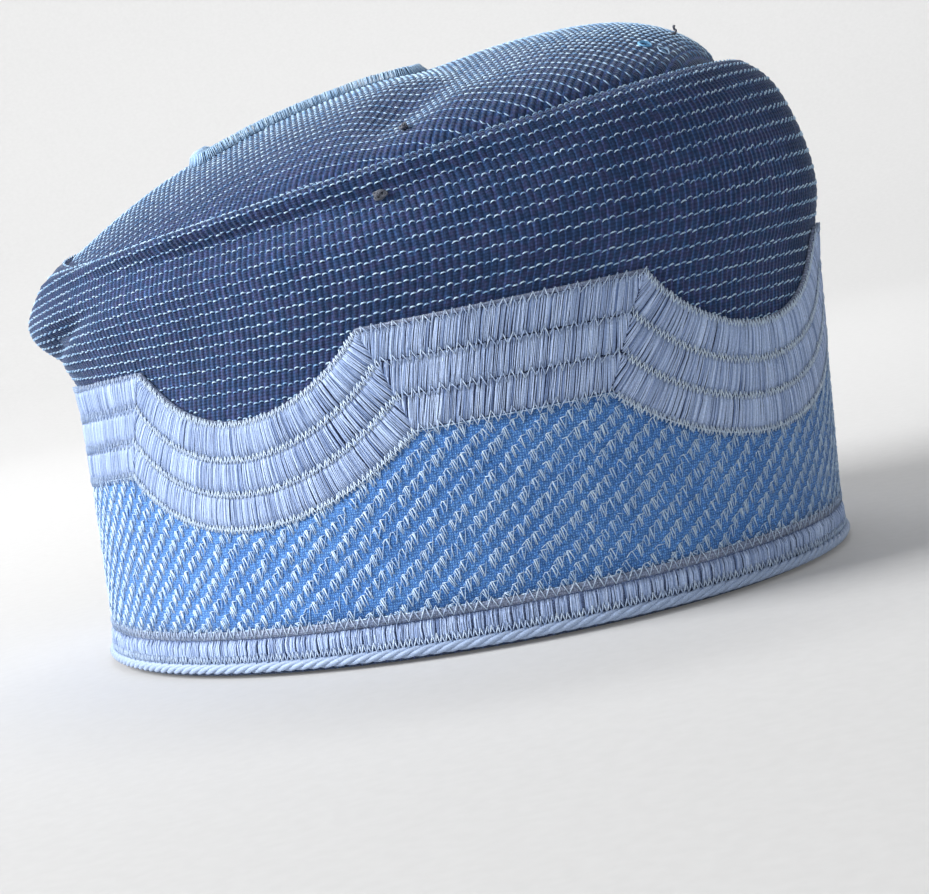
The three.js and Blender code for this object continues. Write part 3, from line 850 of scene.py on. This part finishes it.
strands = []
for phase in np.arange(STRANDS) * math.pi * 2 / STRANDS:
    twist = run * turns * 2 * math.pi + phase
    lift = GAP + CORD_RADIUS + STRAND_RADIUS * np.cos(twist)
    strands.append(on_wall(run * AROUND, CORD_PATH + STRAND_RADIUS * np.sin(twist), lift))
points, out = (np.stack(v) for v in zip(*strands))
skin, faces = tubes(points, out, STRAND_RADIUS, STRAND_RADIUS, sides=6, ring=True)
make("hem_cord_twist", skin, faces, cord_thread, "hem_cord", ["hem_cord"], tint=np.full(len(skin), 0.5))


# The satin outline on the top panel
def diamond(margin, count):
    """Points of the rounded square outline, evenly along its middle line, grown by a margin."""
    flat, bend = DIAMOND_SIDE - 2 * DIAMOND_ROUNDING, math.pi / 2 * DIAMOND_ROUNDING
    side, rest = np.divmod(np.arange(count) / count * 4 * (flat + bend), flat + bend)
    swing, h, arm = np.maximum(rest - flat, 0) / DIAMOND_ROUNDING, flat / 2, DIAMOND_ROUNDING + margin
    x, y = h + arm * np.cos(swing), np.minimum(rest, flat) - h + arm * np.sin(swing)
    a = side * math.pi / 2 + math.pi / 4
    turned = np.stack([x * np.cos(a) - y * np.sin(a), x * np.sin(a) + y * np.cos(a)], -1)
    return turned + np.array(DIAMOND_CENTRE) - TOP_CENTRE[:2]


half = DIAMOND_WIDTH / 2
lines = [(half - 0.6, 0.1), (half - 0.6, 0.7), (0.6 - half, 0.7), (0.6 - half, 0.1)]
uv = np.stack([diamond(margin, DIAMOND_POINTS) for margin, _ in lines])
rings = np.stack([on_top(*ring.T, np.full(DIAMOND_POINTS, lift))[0] for ring, (_, lift) in zip(uv, lines)])
faces = [grid_faces(len(lines), DIAMOND_POINTS, close_rows=True)]
make("top_motif_ground", rings, faces, backing, "top_motif", ["top_motif"], uv=uv)
outer, inner = (diamond(margin, DIAMOND_THREADS) for margin in (half + 0.2, -half - 0.2))
satin("top_motif_satin", outer, inner, 0.3, 2.4, 0.37, "top_motif", on_top, pale_thread, vary=0.05)


# Loose tacks: knots and loops of thread, each at (arc, path) on the wall or (x, y) on the top panel
def curl(name, centre, radius, turns, thick, material, slot, on, lift=0.5, stand=0.0, tangle=0.0):
    """A thread that winds round a place on a surface, with its far end standing up or tangled."""
    t = np.linspace(0, 1, 14 * turns)
    wobble = radius * (1 + 0.25 * np.sin(t * 11) - tangle * np.sin(t * 23) ** 2)
    swing = t * turns * 2 * math.pi
    u = centre[0] + wobble * np.cos(swing)
    v = centre[1] + (0.7 + 0.3 * tangle) * wobble * np.sin(swing + tangle * np.sin(t * 9))
    p, o = on(u, v, lift + stand * t + 0.15 * np.sin(t * 17) + tangle * (0.5 + 0.5 * np.sin(t * 31)))
    return threads(name, p[None], o[None], thick, thick, material, slot, np.array([0.5]), sides=6)


curl("tack_wall", (arc_of(38.0), 103.2), 1.5, 6, 0.26, dark_thread, "crown_wall", on_wall, tangle=0.8)
curl("tack_top_dark", (47.8, 57.3), 1.1, 4, 0.26, dark_thread, "crown_top", on_top, tangle=0.7)
curl("tack_top_blue", (-8.6, 82.0), 1.7, 2, 0.2, blue_thread, "crown_top", on_top)
curl("tack_top_pale", (-11.0, 85.5), 1.6, 1, 0.16, line_thread, "crown_top", on_top)
curl("thread_end", (-27.9, 75.7), 0.5, 1, 0.3, dark_thread, "crown_top", on_top, 0.3, 2.2)

# Stage, light and camera
paper = Cloth("floor_paper", 0.9)
grain = paper.noise(paper.place(), 300, 3)
paper.finish(paper.ramp(grain, (0.3, grey(0.46)), (0.7, grey(0.48))))
paper.shader.inputs["Emission Color"].default_value = (1, 1, 1, 1)
paper.shader.inputs["Emission Strength"].default_value = 0.09
FLOOR_PROFILE = [
    # radius and height in metres: a flat floor that sweeps up all round
    (0.6, 0.0), (1.1, 0.0), (1.35, 0.03), (1.6, 0.14), (1.8, 0.34), (1.95, 0.65), (2.05, 1.1), (2.1, 1.8),
]
FLOOR_SIDES, FLOOR_DROP = 64, 0.0005
floor_points = [(0.0, 0.0, -FLOOR_DROP)]
for radius, rise in FLOOR_PROFILE:
    for k in range(FLOOR_SIDES):
        a = 2 * math.pi * k / FLOOR_SIDES
        floor_points.append((radius * math.cos(a), radius * math.sin(a), rise - FLOOR_DROP))
floor_faces = [(0, 1 + k, 1 + (k + 1) % FLOOR_SIDES) for k in range(FLOOR_SIDES)]
for ring in range(len(FLOOR_PROFILE) - 1):
    for k in range(FLOOR_SIDES):
        a, b = 1 + ring * FLOOR_SIDES + k, 1 + ring * FLOOR_SIDES + (k + 1) % FLOOR_SIDES
        floor_faces.append((a, a + FLOOR_SIDES, b + FLOOR_SIDES, b))
floor_mesh = bpy.data.meshes.new("floor")
floor_mesh.from_pydata(floor_points, [], floor_faces)
floor_mesh.polygons.foreach_set("use_smooth", np.ones(len(floor_faces), bool))
floor_mesh.materials.append(paper.material)
floor = bpy.data.objects.new("floor", floor_mesh)
bpy.context.scene.collection.objects.link(floor)

world = bpy.data.worlds.new("studio")
bpy.context.scene.world = world
world.use_nodes = True
world.node_tree.nodes["Background"].inputs["Color"].default_value = (1, 1, 1, 1)
world.node_tree.nodes["Background"].inputs["Strength"].default_value = 0.06
bpy.context.scene.view_settings.view_transform = "Standard"


def softbox(name, plan_angle, elevation, distance, size, power, turned_out=False):
    """A square light, in metres and watts, that faces the cap or else the floor beyond it."""
    data = bpy.data.lights.new(name, "AREA")
    data.shape, data.size, data.size_y = "RECTANGLE", size, size
    data.energy = power
    lamp = bpy.data.objects.new(name, data)
    a, e = math.radians(plan_angle), math.radians(elevation)
    way = Vector((math.cos(a) * math.cos(e), math.sin(a) * math.cos(e), math.sin(e)))
    lamp.location = Vector((0, 0, 0.06)) + way * distance
    if turned_out:
        way = Vector((-0.6 * math.cos(a), -0.6 * math.sin(a), 0.8))
    lamp.rotation_euler = way.to_track_quat("Z", "Y").to_euler()
    lamp.visible_camera = False
    bpy.context.scene.collection.objects.link(lamp)


softbox("key", -38, 26, 1.9, 1.2, 87)
softbox("fill", 50, 35, 1.5, 1.0, 4.5)
softbox("backdrop", 225, 60, 1.3, 0.8, 14, turned_out=True)

# Camera at the photograph's angle: back left of the cap, turned a little about its own axis
CAMERA_PLACE = (425.14, 433.94, 89.39)
CAMERA_AZIMUTH, CAMERA_ELEVATION, CAMERA_ROLL = 135.08, 5.02, -11.11
FOCAL_PIXELS, IMAGE_WIDTH = 2400.9, 929
azimuth, tilt = math.radians(CAMERA_AZIMUTH), math.radians(CAMERA_ELEVATION)
back = Vector((math.sin(azimuth) * math.cos(tilt), -math.cos(azimuth) * math.cos(tilt), math.sin(tilt)))
right = (-back).cross(Vector((0, 0, 1))).normalized()
up = right.cross(-back)
roll = math.radians(CAMERA_ROLL)
right, up = right * math.cos(roll) + up * math.sin(roll), up * math.cos(roll) - right * math.sin(roll)
camera_data = bpy.data.cameras.new("camera")
camera_data.sensor_width = 36
camera_data.lens = 36 * FOCAL_PIXELS / IMAGE_WIDTH
camera_data.clip_start = 0.01
camera = bpy.data.objects.new("camera", camera_data)
turned = Matrix((right, up, back)).transposed().to_4x4()
camera.matrix_world = Matrix.Translation((Vector(CAMERA_PLACE) + Vector(RIM)) * 0.001) @ turned
bpy.context.scene.collection.objects.link(camera)
bpy.context.scene.camera = camera
